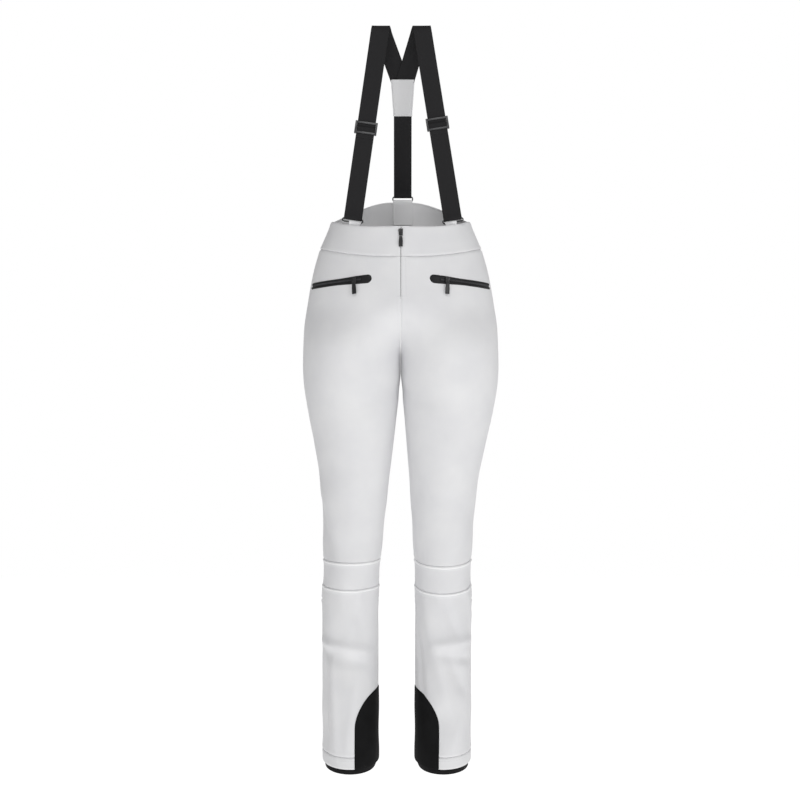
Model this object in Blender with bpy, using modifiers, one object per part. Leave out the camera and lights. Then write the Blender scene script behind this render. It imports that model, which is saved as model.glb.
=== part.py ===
"""Slim ski pants with suspenders: every cloth panel, zip part and strap as its own solid.

The frame's origin is in the middle of the waist opening. +Z is up, the front faces -Y and
the wearer's left is +X. Lengths are metres.
"""
import bpy
import bmesh
import math
from mathutils import Matrix, Vector

MM = 0.001

# driving dimensions of the cut
GAP = 0.15 * MM                 # half the clearance kept between two touching panels
CLOTH = 2.0 * MM                # bonded stretch cloth
BAND_CLOTH = 2.6 * MM           # waistband, faced on the inside
CROTCH_Z = -292 * MM
RISE_FRONT_Z = -152 * MM        # the centre front seam starts to turn under here
RISE_BACK_Z = -118 * MM
FLY_HALF_SLOT = 1.6 * MM
FLY_END_Z = -150 * MM
GUARD_TOP_Z = -890 * MM
GUARD_DROP = 75 * MM
SWAY = -7.7 * MM                # how far the lower legs hang to the wearer's right
FULLNESS = 0.5                  # fills the seat and belly where the two legs divide
LEG_COLUMNS = 9                 # facets from the inner seam to the side seam
GUARD_SPAN = 4 / LEG_COLUMNS    # the guard ends on one of the leg's facet lines

# z, outer half width, inner edge of the leg, depth in front and depth behind, in mm
FORM = [
    (70, 112, 0, 83, 86),
    (16, 131, 0, 88.5, 95),
    (-9, 140, 0, 92, 98),
    (-50, 157, 0, 97.2, 106),
    (-97, 170, 0, 103.2, 116),
    (-150, 179.5, 0, 110, 128),
    (-205, 187, 0, 113, 132),
    (-272, 189, 0, 107, 124),
    (-300, 187.8, 1.6, 101, 115),
    (-353, 180, 6.5, 91, 101),
    (-420, 166, 13, 83.5, 91),
    (-500, 151.5, 21, 74, 80),
    (-586, 145.3, 28, 66.5, 71),
    (-684, 142.6, 34.5, 63, 66),
    (-800, 143.5, 36, 62, 69),
    (-935, 143.5, 36, 70, 76),
    (-1062, 143.5, 35.5, 79, 84),
]

# suspenders
WEB_WIDTH = 35 * MM
WEB_THICK = 1.7 * MM
CROWN_Z = 388 * MM
STRAP_FOOT_X = {"left": 99 * MM, "right": -91 * MM}
CROWN_X = {"left": 40.5 * MM, "right": -38.5 * MM}
STRAP_FOOT_Z = 9.5 * MM                 # lower end of a front strap, above its ring
STRAP_INSET = 6 * MM                    # how far inside the waistband it hangs
CROWN_FRONT = (-8 * MM, 378 * MM)
TAB_HALF_T = 0.085                      # half the width of a front tab, as a seam parameter
REAR_X = 4 * MM
REAR_BAR = (83 * MM, 65 * MM)           # y and z of the rear ring's top bar, the fold axis
CONNECTOR_Z = (290 * MM, 220 * MM)      # top and bottom of the cloth connector
ADJUSTER_Z = {"left": 193 * MM, "right": 184 * MM}

SIDES = {"left": 1, "right": -1}

COLOURS = {
    "shell_fabric": ((0.80, 0.80, 0.81), 0.75, 0.0),
    "webbing": ((0.020, 0.020, 0.022), 0.8, 0.0),
    "guard_fabric": ((0.012, 0.012, 0.013), 0.6, 0.0),
    "gaiter_fabric": ((0.015, 0.015, 0.016), 0.7, 0.0),
    "zip_coil": ((0.05, 0.05, 0.055), 0.35, 0.0),
    "black_metal": ((0.02, 0.02, 0.02), 0.35, 1.0),
    "black_plastic": ((0.022, 0.022, 0.024), 0.4, 0.0),
    "lining": ((0.70, 0.70, 0.71), 0.85, 0.0),
    "hook_steel": ((0.50, 0.50, 0.52), 0.3, 1.0),
}


def clear_scene():
    for old in list(bpy.data.objects):
        bpy.data.objects.remove(old, do_unlink=True)


def new_collection(name):
    group = bpy.data.collections.new(name)
    bpy.context.scene.collection.children.link(group)
    return group


def make_material(name, look):
    colour, roughness, metallic = COLOURS[look]
    mat = bpy.data.materials.new(name)
    mat.use_nodes = True
    shader = mat.node_tree.nodes["Principled BSDF"]
    shader.inputs["Base Color"].default_value = (*colour, 1)
    shader.inputs["Roughness"].default_value = roughness
    shader.inputs["Metallic"].default_value = metallic
    return mat


def add_object(name, mesh, look, smooth=True):
    if smooth:
        mesh.shade_smooth()
        mesh.set_sharp_from_angle(angle=math.radians(40))
    obj = bpy.data.objects.new(name, mesh)
    mesh.materials.clear()
    mesh.materials.append(make_material(name, look))
    pants.objects.link(obj)
    return obj


# ---------------------------------------------------------------- the body surface
def form_value(z, column):
    """One column of FORM at height z, on a smooth curve through the stations."""
    z_mm = z / MM
    rows = FORM
    if z_mm >= rows[0][0]:
        return rows[0][column] * MM
    if z_mm <= rows[-1][0]:
        return rows[-1][column] * MM
    i = next(k for k in range(len(rows) - 1) if rows[k + 1][0] <= z_mm)

    def slope(k):
        if k == 0 or k == len(rows) - 1:
            return 0.0
        before = (rows[k][column] - rows[k - 1][column]) / (rows[k][0] - rows[k - 1][0])
        after = (rows[k + 1][column] - rows[k][column]) / (rows[k + 1][0] - rows[k][0])
        if before * after <= 0:
            return 0.0
        return 2 * before * after / (before + after)

    span = rows[i + 1][0] - rows[i][0]
    u = (z_mm - rows[i][0]) / span
    a, b = rows[i][column], rows[i + 1][column]
    value = ((2 * u**3 - 3 * u**2 + 1) * a + (u**3 - 2 * u**2 + u) * span * slope(i)
             + (3 * u**2 - 2 * u**3) * b + (u**3 - u**2) * span * slope(i + 1))
    return value * MM


def smooth_step(value, low, high):
    u = min(max((value - low) / (high - low), 0), 1)
    return u * u * (3 - 2 * u)


def skin(side, face, z, t, inset=0.0):
    """A point on the garment. t runs from the inner seam (0) to the side seam (1)."""
    outer = form_value(z, 1)
    inner = form_value(z, 2)
    depth = form_value(z, 3 if face == "front" else 4) - inset
    rise = RISE_FRONT_Z if face == "front" else RISE_BACK_Z
    leg = smooth_step(-z, -rise, -CROTCH_Z)
    half_width = (outer - inner) / 2 - inset
    depth *= 1 + FULLNESS * leg * (1 - leg)
    hip = Vector(((outer - inset) * math.sin(t * math.pi / 2), depth * math.cos(t * math.pi / 2)))
    ring = Vector(((outer + inner) / 2 - half_width * math.cos(t * math.pi),
                   depth * math.sin(t * math.pi)))
    flat = hip.lerp(ring, leg)
    slot = FLY_HALF_SLOT if face == "front" and z > FLY_END_Z else GAP
    x = max(flat.x, slot)
    y = max(flat.y, GAP)
    lean = SWAY * smooth_step(-z, 300 * MM, 760 * MM)
    return Vector((SIDES[side] * x + lean, -y if face == "front" else y, z))


def slab(outer, inner, rows, columns, closed=False):
    """A closed sheet between two grids of points, each given as function(row, column)."""
    mesh = bmesh.new()
    out_grid = [[mesh.verts.new(outer(v, u)) for u in columns] for v in rows]
    in_grid = [[mesh.verts.new(inner(v, u)) for u in columns] for v in rows]
    count = len(columns)
    last = count if closed else count - 1
    for r in range(len(rows) - 1):
        for c in range(last):
            d = (c + 1) % count
            mesh.faces.new((out_grid[r][c], out_grid[r][d], out_grid[r + 1][d], out_grid[r + 1][c]))
            mesh.faces.new((in_grid[r][c], in_grid[r + 1][c], in_grid[r + 1][d], in_grid[r][d]))
    for r, flip in ((0, False), (len(rows) - 1, True)):
        for c in range(last):
            d = (c + 1) % count
            ring = (out_grid[r][c], in_grid[r][c], in_grid[r][d], out_grid[r][d])
            mesh.faces.new(ring[::-1] if flip else ring)
    if not closed:
        for c, flip in ((0, True), (count - 1, False)):
            for r in range(len(rows) - 1):
                edge = (out_grid[r][c], in_grid[r][c], in_grid[r + 1][c], out_grid[r + 1][c])
                mesh.faces.new(edge[::-1] if flip else edge)
    bmesh.ops.recalc_face_normals(mesh, faces=mesh.faces)
    if mesh.calc_volume(signed=True) < 0:
        bmesh.ops.reverse_faces(mesh, faces=mesh.faces)
    data = bpy.data.meshes.new("cloth")
    mesh.to_mesh(data)
    mesh.free()
    return data


def steps(count, low=0.0, high=1.0):
    return [low + (high - low) * i / count for i in range(count + 1)]


def panel(name, side, face, top, bottom, rows, columns, look="shell_fabric",
          thick=CLOTH, inset=0.0, span=(0.0, 1.0)):
    """A cloth panel on the garment between two seam heights, given as functions of t."""
    def point(v, t, depth):
        z = top(t) * (1 - v) + bottom(t) * v
        return skin(side, face, z, t, depth)

    levels = steps(rows) if isinstance(rows, int) else rows
    mesh = slab(lambda v, t: point(v, t, inset), lambda v, t: point(v, t, inset + thick),
                levels, steps(columns, *span))
    return add_object(name, mesh, look)


def around(side, count):
    """(face, t) pairs once round a leg, from the inseam over the front and back again."""
    front = [("front", t) for t in steps(count)[:-1]]
    back = [("back", t) for t in reversed(steps(count)[1:])]
    return front + back


def cuff(name, side, top, bottom, rows, count, look, thick, inset):
    """A closed ring of cloth round one leg; inset is a function of v, 0 at the top."""
    def point(v, spot, depth):
        face, t = spot
        z = top(face, t) * (1 - v) + bottom(face, t) * v
        place = skin(side, face, z, t, inset(v) + depth)
        if t in (0, 1):
            place.y = 0
        return place

    mesh = slab(lambda v, s: point(v, s, 0.0), lambda v, s: point(v, s, thick),
                steps(rows), around(side, count), closed=True)
    return add_object(name, mesh, look)


def block(name, size, centre, look, rotation=None, bevel=0.0):
    """A box with its size and centre given, turned about its own centre."""
    mesh = bpy.data.meshes.new(name)
    shape = bmesh.new()
    bmesh.ops.create_cube(shape, size=1.0)
    bmesh.ops.scale(shape, vec=size, verts=shape.verts)
    shape.to_mesh(mesh)
    shape.free()
    obj = add_object(name, mesh, look, smooth=False)
    turn = rotation if rotation is not None else Matrix.Identity(3)
    obj.matrix_world = Matrix.Translation(centre) @ turn.to_4x4()
    if bevel:
        edge = obj.modifiers.new("bevel", "BEVEL")
        edge.width = bevel
        edge.segments = 1
    return obj


def cut(obj, size, centre, rotation=None):
    """Takes a box out of an object with a Boolean."""
    cutter = block(obj.name + "_cutter", size, centre, "lining", rotation)
    pants.objects.unlink(cutter)
    cutters.objects.link(cutter)
    cutter.hide_render = True
    cutter.display_type = "WIRE"
    hole = obj.modifiers.new("cut", "BOOLEAN")
    hole.object = cutter
    hole.operation = "DIFFERENCE"


def basis(right, up):
    """A rotation whose X lies along right and whose Z lies along up."""
    x = right.normalized()
    y = up.cross(x).normalized()
    z = x.cross(y)
    return Matrix((x, y, z)).transposed()


def ribbon(name, path, width, thick, look):
    """A flat band through stations of (point, across); across is the width direction."""
    mesh = bmesh.new()
    rings = []
    for k, (point, across) in enumerate(path):
        before = path[max(k - 1, 0)][0]
        after = path[min(k + 1, len(path) - 1)][0]
        along = (after - before).normalized()
        side_dir = (across - along * across.dot(along)).normalized()
        normal = along.cross(side_dir).normalized()
        corners = [point + side_dir * width / 2 * a + normal * thick / 2 * b
                   for a, b in ((-1, -1), (1, -1), (1, 1), (-1, 1))]
        rings.append([mesh.verts.new(c) for c in corners])
    for low, high in zip(rings, rings[1:]):
        for i in range(4):
            j = (i + 1) % 4
            mesh.faces.new((low[i], low[j], high[j], high[i]))
    mesh.faces.new(rings[0][::-1])
    mesh.faces.new(rings[-1])
    bmesh.ops.recalc_face_normals(mesh, faces=mesh.faces)
    data = bpy.data.meshes.new(name)
    mesh.to_mesh(data)
    mesh.free()
    return add_object(name, data, look)


# ---------------------------------------------------------------- seam lines
def waist_top(face, t):
    if face == "front":
        return (-9 + 16 * smooth_step(t, 0.2, 1.0)) * MM
    return (54 - 47 * smooth_step(t, 0.1, 1.0)) * MM


def waist_seam(face, t):
    if face == "front":
        return (-67 + 20 * smooth_step(t, 0.1, 1.0)) * MM
    return (-14 - 33 * smooth_step(t, 0.1, 1.0)) * MM


def knee_upper(t):
    return (-644 - 9 * math.sin(math.pi * t)) * MM


def knee_lower(t):
    return (-693 - 11 * math.sin(math.pi * t)) * MM


def knee_back_top(t):
    return (-644 + 14 * math.sin(math.pi * t)) * MM


def knee_back_bottom(t):
    return (-722 - 13 * math.sin(math.pi * t)) * MM


def hem_seam(face, t):
    return (-1010 - 8 * math.sin(math.pi * t)) * MM


def hem_edge(face, t):
    return (-1032 - 8 * math.sin(math.pi * t)) * MM


def make_waistband():
    gap = 2 * GAP
    for side in SIDES:
        panel("waistband_front_" + side, side, "front",
              lambda t: waist_top("front", t), lambda t: waist_seam("front", t) + gap,
              2, 10, thick=BAND_CLOTH)
    stretch = [("right", t) for t in reversed(steps(9)[1:])] + [("left", t) for t in steps(9)]

    def point(v, spot, depth):
        side, t = spot
        z = waist_top("back", t) * (1 - v) + (waist_seam("back", t) + gap) * v
        place = skin(side, "back", z, t, depth)
        if t == 0:
            place.x = 0
        return place

    mesh = slab(lambda v, s: point(v, s, 0.0), lambda v, s: point(v, s, BAND_CLOTH),
                steps(2), stretch)
    add_object("waistband_back", mesh, "shell_fabric")


def make_legs():
    gap = 2 * GAP
    # two rows close together end the fly slot
    front_rows = [0, 0.07, 0.142, 0.148] + steps(14, 0.2, 1.0)
    for side in SIDES:
        panel("front_panel_" + side, side, "front",
              lambda t: waist_seam("front", t), lambda t: knee_upper(t) + gap, front_rows,
              LEG_COLUMNS)
        panel("back_panel_" + side, side, "back",
              lambda t: waist_seam("back", t), lambda t: knee_back_top(t) + gap, 17, LEG_COLUMNS)
        panel("knee_panel_" + side, side, "front",
              lambda t: knee_upper(t), lambda t: knee_lower(t) + gap, 1, LEG_COLUMNS)
        panel("knee_back_" + side, side, "back",
              lambda t: knee_back_top(t), lambda t: knee_back_bottom(t) + gap, 2, LEG_COLUMNS)
        panel("shin_panel_" + side, side, "front",
              lambda t: knee_lower(t), lambda t: hem_seam("front", t) + gap, 6, LEG_COLUMNS)
        panel("calf_panel_" + side, side, "back",
              lambda t: knee_back_bottom(t), lambda t: hem_seam("back", t) + gap, 6, LEG_COLUMNS)


def make_leg_ends():
    """The hem band, the inner gaiter and the edge guard of each leg."""
    for side in SIDES:
        cuff("hem_band_" + side, side, hem_seam, hem_edge, 1, LEG_COLUMNS, "shell_fabric",
             CLOTH, lambda v: 0.0)
        cuff("gaiter_" + side, side, lambda face, t: -925 * MM,
             lambda face, t: hem_edge(face, t) - 10 * MM, 3, LEG_COLUMNS, "gaiter_fabric",
             1.4 * MM, lambda v: (CLOTH + 0.6 * MM + 1.6 * MM * v))

        def guard_top(spot):
            face, t = spot
            return GUARD_TOP_Z - GUARD_DROP * (1 - math.sqrt(1 - (t / GUARD_SPAN) ** 2))

        spots = [("front", t) for t in reversed(steps(4, 0.0, GUARD_SPAN)[1:])]
        spots += [("back", t) for t in steps(4, 0.0, GUARD_SPAN)]

        def point(v, spot, depth):
            face, t = spot
            z = guard_top(spot) * (1 - v) + (hem_edge(face, t) + 1.0 * MM) * v
            place = skin(side, face, z, t, -0.5 * MM - depth)
            if t == 0:
                place.y = 0
            return place

        mesh = slab(lambda v, s: point(v, s, 1.2 * MM), lambda v, s: point(v, s, 0.0),
                    steps(3), spots)
        add_object("edge_guard_" + side, mesh, "guard_fabric")


# ---------------------------------------------------------------- the fly
def fly_point(z, inset=0.0):
    """A point on the centre front line, which is straight over the fly."""
    return Vector((0, -(form_value(z, 3) - inset), z))


def make_fly():
    top = fly_point(-13 * MM)
    bottom = fly_point(-143 * MM)
    down = (bottom - top).normalized()
    turn = basis(Vector((1, 0, 0)), -down)
    out = Vector((0, -1, 0))
    out = (out - down * out.dot(down)).normalized()
    middle = (top + bottom) / 2
    length = (bottom - top).length
    block("fly_chain", (15 * MM, 1.4 * MM, length), middle - out * 4.8 * MM, "zip_coil", turn)
    block("fly_placket", (38 * MM, 1.2 * MM, length + 8 * MM), middle - out * 8.6 * MM,
          "shell_fabric", turn)
    block("fly_stop", (2.6 * MM, 2.0 * MM, 3.4 * MM), fly_point(-145.5 * MM) - out * 1.2 * MM,
          "zip_coil", turn)
    seat = fly_point(-21 * MM)
    slider = block("fly_slider", (9.6 * MM, 3.4 * MM, 14 * MM), seat + out * 2.1 * MM,
                   "black_metal", turn, bevel=0.6 * MM)
    neck = block("fly_slider_neck", (2.0 * MM, 3.6 * MM, 8 * MM), seat - out * 1.0 * MM,
                 "black_metal", turn)
    join(slider, neck)
    block("fly_pull", (7.6 * MM, 1.6 * MM, 17.5 * MM),
          fly_point(-39.5 * MM) + out * 2.6 * MM, "black_plastic", turn, bevel=0.5 * MM)
    for name, x in (("waist_hook", -17 * MM), ("waist_hook_bar", 17 * MM)):
        block(name, (13 * MM, 1.1 * MM, 9 * MM),
              fly_point(-18 * MM) + Vector((x, 5.6 * MM, 0)), "hook_steel", turn)


def join(obj, part):
    """Unites a helper solid into an object and hides the helper among the cutters."""
    pants.objects.unlink(part)
    cutters.objects.link(part)
    part.hide_render = True
    part.display_type = "WIRE"
    union = obj.modifiers.new("join", "BOOLEAN")
    union.object = part
    union.operation = "UNION"


# ---------------------------------------------------------------- the pockets
POCKET_IN_T = 0.205             # seam parameter of the closed end and the outer end
POCKET_OUT_T = 0.86
POCKET_Z = -108.6 * MM
POCKET_DROP = 11 * MM
SLIDER_T = 0.335
SLIDER_END_T = 0.79


def pocket_z(t):
    """Height of the pocket zip, falling towards the side seam."""
    return POCKET_Z - POCKET_DROP * math.sin((t - POCKET_IN_T) / (1 - POCKET_IN_T) * math.pi / 2)


def zip_strip(name, side, half_height, low, high, t_range, count, look):
    """A strip along the pocket line between two heights above the cloth."""
    def point(v, t, lift):
        return skin(side, "front", pocket_z(t) + v * half_height(t), t, -lift)

    mesh = slab(lambda v, t: point(v, t, high), lambda v, t: point(v, t, low),
                [1, -1], steps(count, *t_range))
    return add_object(name, mesh, look)


def arc_centre(a, b, c):
    """Centre and unit normal of the circle through three points."""
    ab = b - a
    ac = c - a
    normal = ab.cross(ac)
    to_centre = (normal.cross(ab) * ac.length_squared + ac.cross(normal) * ab.length_squared)
    return a + to_centre / (2 * normal.length_squared), normal.normalized()


def pocket_arc(side):
    """The circle that a pocket slider follows over the hip."""
    spots = [SLIDER_T, (SLIDER_T + SLIDER_END_T) / 2, SLIDER_END_T]
    a, b, c = [skin(side, "front", pocket_z(t), t, -2.4 * MM) for t in spots]
    centre, normal = arc_centre(a, b, c)
    if normal.z < 0:
        normal = -normal
    return centre, normal, a


def make_pockets():
    for side in SIDES:
        def welt_half(t):
            into = (t - POCKET_IN_T) / 0.05
            round_end = math.sqrt(max(1 - (1 - min(into, 1)) ** 2, 0.04))
            return 8.2 * MM * round_end if into < 1.6 else 6.4 * MM

        zip_strip("pocket_welt_" + side, side, welt_half, 0.3 * MM, 1.3 * MM,
                  (POCKET_IN_T, POCKET_OUT_T), 16, "guard_fabric")
        zip_strip("pocket_chain_" + side, side, lambda t: 2.6 * MM, 1.6 * MM, 2.4 * MM,
                  (POCKET_IN_T + 0.03, POCKET_OUT_T - 0.02), 12, "zip_coil")
        panel("pocket_bag_" + side, side, "front",
              lambda t: -122 * MM, lambda t: (-225 - 35 * math.sin(math.pi * t)) * MM,
              3, 6, "lining", 1.0 * MM, 6.0 * MM, (0.24, 0.82))
        centre, normal, seat = pocket_arc(side)
        out = (seat - centre).normalized()
        along = normal.cross(out) * -SIDES[side]
        turn = basis(along * SIDES[side], normal)
        block("pocket_slider_" + side, (9 * MM, 3.0 * MM, 9.6 * MM),
              seat + out * 2.75 * MM, "black_metal", turn, bevel=0.6 * MM)
        pivot = seat + out * 4.0 * MM - normal * 6.4 * MM
        hang = (normal - out * 0.14).normalized()
        block("pocket_pull_" + side, (7.6 * MM, 1.6 * MM, 22 * MM),
              pivot - hang * (1.4 + 11) * MM,
              "black_plastic", basis(along * SIDES[side], hang), bevel=0.5 * MM)


# ---------------------------------------------------------------- suspenders
def strap_seat(side):
    """Where on the waistband a front strap hangs: the seam parameter and the point."""
    spots = [(t, skin(side, "front", 0, t, STRAP_INSET)) for t in steps(200, 0.3, 0.8)]
    return min(spots, key=lambda spot: abs(spot[1].x - STRAP_FOOT_X[side]))


def strap_line(side):
    """Lower end, upper end and width direction of a front strap, which is straight."""
    foot = strap_seat(side)[1]
    foot.z = STRAP_FOOT_Z
    head = Vector((CROWN_X[side] + SIDES[side] * 1.5 * MM, *CROWN_FRONT))
    lean = head - foot
    across = Vector((lean.z, 0, -lean.x)).normalized()
    return foot, head, across


def rear_line(x, z):
    """A point on the back run, which drops straight from the crowns to the rear ring."""
    start = (21 * MM, CROWN_Z - 18 * MM)
    y = start[0] + (REAR_BAR[0] - start[0]) * (start[1] - z) / (start[1] - REAR_BAR[1])
    return Vector((x, y, z))


def make_strap(side):
    foot, head, across = strap_line(side)
    x = CROWN_X[side]
    flat = Vector((1, 0, 0))
    lean = math.radians(22)
    fall = rear_line(0, 0) - rear_line(0, 1)
    rear_lean = Vector((math.cos(lean), 0, 0)) - fall * SIDES[side] * math.sin(lean)
    behind = 0.0 if side == "left" else 2.4 * MM     # one leg passes behind the other
    path = [(foot + (head - foot) * u, across) for u in (0, 0.25, 0.5, 0.75, 1)]
    path += [(Vector((x, -4 * MM, CROWN_Z - 2.6 * MM)), flat.lerp(across, 0.4)),
             (Vector((x, 2 * MM, CROWN_Z)), flat),
             (Vector((x - SIDES[side] * 1 * MM, 12 * MM, CROWN_Z - 1 * MM)), flat),
             (Vector((x - SIDES[side] * 3 * MM, 18 * MM, CROWN_Z - 7 * MM)), flat.lerp(rear_lean, 0.6))]
    top = rear_line(x - SIDES[side] * 6 * MM, CROWN_Z - 18 * MM)
    end = rear_line(REAR_X + SIDES[side] * 4 * MM, CONNECTOR_Z[0] + 7 * MM)
    shift = Vector((0, behind, 0))
    path += [(top.lerp(end, u) + shift, rear_lean) for u in (0, 0.5, 1)]
    ribbon("strap_" + side, path, WEB_WIDTH, WEB_THICK, "webbing")


def make_connector():
    """The cloth piece that joins both rear legs to the single rear strap."""
    top = rear_line(REAR_X, CONNECTOR_Z[0])
    bottom = rear_line(REAR_X, CONNECTOR_Z[1])
    mesh = bmesh.new()
    along = (bottom - top).normalized()
    normal = along.cross(Vector((1, 0, 0))).normalized()
    rings = []
    for point, half in ((top, 23.5 * MM), (bottom, 18.3 * MM)):
        corners = [point + Vector((a * half, 0, 0)) + normal * b * 1.5 * MM
                   for a, b in ((-1, -1), (1, -1), (1, 1), (-1, 1))]
        rings.append([mesh.verts.new(c) for c in corners])
    for i in range(4):
        j = (i + 1) % 4
        mesh.faces.new((rings[0][i], rings[0][j], rings[1][j], rings[1][i]))
    mesh.faces.new(rings[0][::-1])
    mesh.faces.new(rings[1])
    bmesh.ops.recalc_face_normals(mesh, faces=mesh.faces)
    data = bpy.data.meshes.new("connector")
    mesh.to_mesh(data)
    mesh.free()
    add_object("yoke_connector", data, "shell_fabric")


def ring_wire(name, centre, across, up, width, height):
    """A closed rectangular ring of wire with rounded corners."""
    radius = 1.25 * MM
    corner = 3 * MM
    points = []
    for cx, cz, start in ((1, 1, 0), (-1, 1, 90), (-1, -1, 180), (1, -1, 270)):
        for k in range(3):
            a = math.radians(start + 45 * k)
            points.append(across * (cx * (width / 2 - corner) + corner * math.cos(a))
                          + up * (cz * (height / 2 - corner) + corner * math.sin(a)))
    curve = bpy.data.curves.new(name, "CURVE")
    curve.dimensions = "3D"
    curve.bevel_depth = radius
    curve.bevel_resolution = 2
    spline = curve.splines.new("POLY")
    spline.points.add(len(points) - 1)
    for spot, place in zip(spline.points, points):
        spot.co = (*place, 1)
    spline.use_cyclic_u = True
    obj = bpy.data.objects.new(name, curve)
    curve.materials.append(make_material(name, "black_metal"))
    obj.location = centre
    pants.objects.link(obj)
    return obj


def make_rings_and_tabs():
    for side in SIDES:
        foot, head, across = strap_line(side)
        up = (head - foot).normalized()
        ring_wire("front_ring_" + side, foot - up * 5.15 * MM, across, up, 39 * MM, 6.5 * MM)
        t = strap_seat(side)[0]
        panel("front_tab_" + side, side, "front", lambda s: -6 * MM, lambda s: -42 * MM, 1, 4,
              thick=1.2 * MM, inset=5.4 * MM, span=(t - TAB_HALF_T, t + TAB_HALF_T))
    ring_wire("rear_ring", Vector((REAR_X, REAR_BAR[0], REAR_BAR[1] - 4.5 * MM)),
              Vector((1, 0, 0)), Vector((0, 0, 1)), 39 * MM, 9 * MM)
    top = Vector((REAR_X, REAR_BAR[0] - 1.5 * MM, REAR_BAR[1] - 11 * MM))
    bottom = Vector((REAR_X, 87 * MM, 8 * MM))
    block("rear_tab", (40 * MM, 1.6 * MM, (top - bottom).length), (top + bottom) / 2,
          "shell_fabric", basis(Vector((1, 0, 0)), top - bottom))


def make_rear_strap():
    top = rear_line(REAR_X, CONNECTOR_Z[1] - 1 * MM)
    bottom = Vector((REAR_X, REAR_BAR[0], REAR_BAR[1] + 2.2 * MM))
    flat = Vector((1, 0, 0))
    ribbon("rear_strap", [(top.lerp(bottom, u), flat) for u in (0, 0.5, 1)],
           WEB_WIDTH, WEB_THICK, "webbing")


def make_adjusters():
    for side in SIDES:
        foot, head, across = strap_line(side)
        up = (head - foot).normalized()
        turn = basis(across, up)
        u = (ADJUSTER_Z[side] - foot.z) / (head.z - foot.z)
        centre = foot.lerp(head, u)
        frame = block("adjuster_" + side, (43 * MM, 6.4 * MM, 25 * MM), centre,
                      "black_plastic", turn, bevel=0.8 * MM)
        cut(frame, (36.6 * MM, 2.6 * MM, 30 * MM), centre, turn)
        depth = turn @ Vector((0, 1, 0))
        for shift in (-6.2 * MM, 6.2 * MM):
            cut(frame, (36.6 * MM, 6 * MM, 6.4 * MM), centre - depth * 4.0 * MM + up * shift, turn)
        cut(frame, (36.6 * MM, 6 * MM, 14 * MM), centre + depth * 4.0 * MM, turn)


clear_scene()
pants = new_collection("ski_pants")
cutters = new_collection("cutters")
make_waistband()
make_legs()
make_leg_ends()
make_fly()
make_pockets()
for strap_side in SIDES:
    make_strap(strap_side)
make_connector()
make_rear_strap()
make_rings_and_tabs()
make_adjusters()
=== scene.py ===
import bpy
import bmesh
import math
import numpy as np
from mathutils import Matrix, Vector


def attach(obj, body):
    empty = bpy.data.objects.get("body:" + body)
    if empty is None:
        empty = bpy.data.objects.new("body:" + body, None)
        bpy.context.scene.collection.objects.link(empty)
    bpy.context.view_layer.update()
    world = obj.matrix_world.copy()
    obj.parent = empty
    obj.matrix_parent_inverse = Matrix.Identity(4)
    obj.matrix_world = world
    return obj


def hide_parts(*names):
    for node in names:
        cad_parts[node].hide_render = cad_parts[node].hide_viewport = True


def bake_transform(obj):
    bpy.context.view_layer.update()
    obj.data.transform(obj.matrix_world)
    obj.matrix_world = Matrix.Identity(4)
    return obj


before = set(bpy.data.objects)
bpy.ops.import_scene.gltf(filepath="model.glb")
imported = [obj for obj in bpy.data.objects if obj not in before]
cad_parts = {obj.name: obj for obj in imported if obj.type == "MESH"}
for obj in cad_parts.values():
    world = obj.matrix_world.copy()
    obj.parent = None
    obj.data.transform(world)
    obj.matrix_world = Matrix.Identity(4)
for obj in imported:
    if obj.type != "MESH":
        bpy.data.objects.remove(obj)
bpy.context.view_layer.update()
for item in bpy.context.selected_objects:
    item.select_set(False)
print("frame loaded:", len(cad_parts), "nodes")

mm = 0.001
sides = {"left": 1, "right": -1}        # the wearer's left is +X


# ---- materials

def toLinear(code):
    # sRGB hex to the linear values that the shader wants
    parts = [int(code[i:i + 2], 16) / 255 for i in (1, 3, 5)]
    return [c / 12.92 if c <= 0.04045 else ((c + 0.055) / 1.055) ** 2.4 for c in parts] + [1.0]


def addNode(tree, kind, values=None, links=None, **settings):
    node = tree.nodes.new(kind)
    for key, value in settings.items():
        setattr(node, key, value)
    for key, value in (values or {}).items():
        node.inputs[key].default_value = value
    for key, source in (links or {}).items():
        tree.links.new(source, node.inputs[key])
    return node


def startMaterial(name, values):
    material = bpy.data.materials.new(name)
    material.use_nodes = True
    tree = material.node_tree
    shader = tree.nodes["Principled BSDF"]
    for key, value in values.items():
        shader.inputs[key].default_value = value
    return material, tree, shader


def mottle(tree, shader, coords, darker, lighter, size):
    # slow colour variation over the piece, size in millimetres
    cloud = addNode(tree, "ShaderNodeTexNoise", {"Scale": 1000 / size, "Detail": 3.0}, {"Vector": coords})
    ramp = addNode(tree, "ShaderNodeValToRGB", links={"Fac": cloud.outputs["Fac"]})
    ramp.color_ramp.elements[0].position = 0.3
    ramp.color_ramp.elements[1].position = 0.7
    ramp.color_ramp.elements[0].color = toLinear(darker)
    ramp.color_ramp.elements[1].color = toLinear(lighter)
    tree.links.new(ramp.outputs["Color"], shader.inputs["Base Color"])
    return cloud


def bumpInto(tree, shader, height, depth, strength=1.0, after=None):
    # depth in millimetres
    links = {"Height": height}
    if after is not None:
        links["Normal"] = after.outputs["Normal"]
    bump = addNode(tree, "ShaderNodeBump", {"Strength": strength, "Distance": depth * mm}, links)
    tree.links.new(bump.outputs["Normal"], shader.inputs["Normal"])
    return bump


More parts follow.
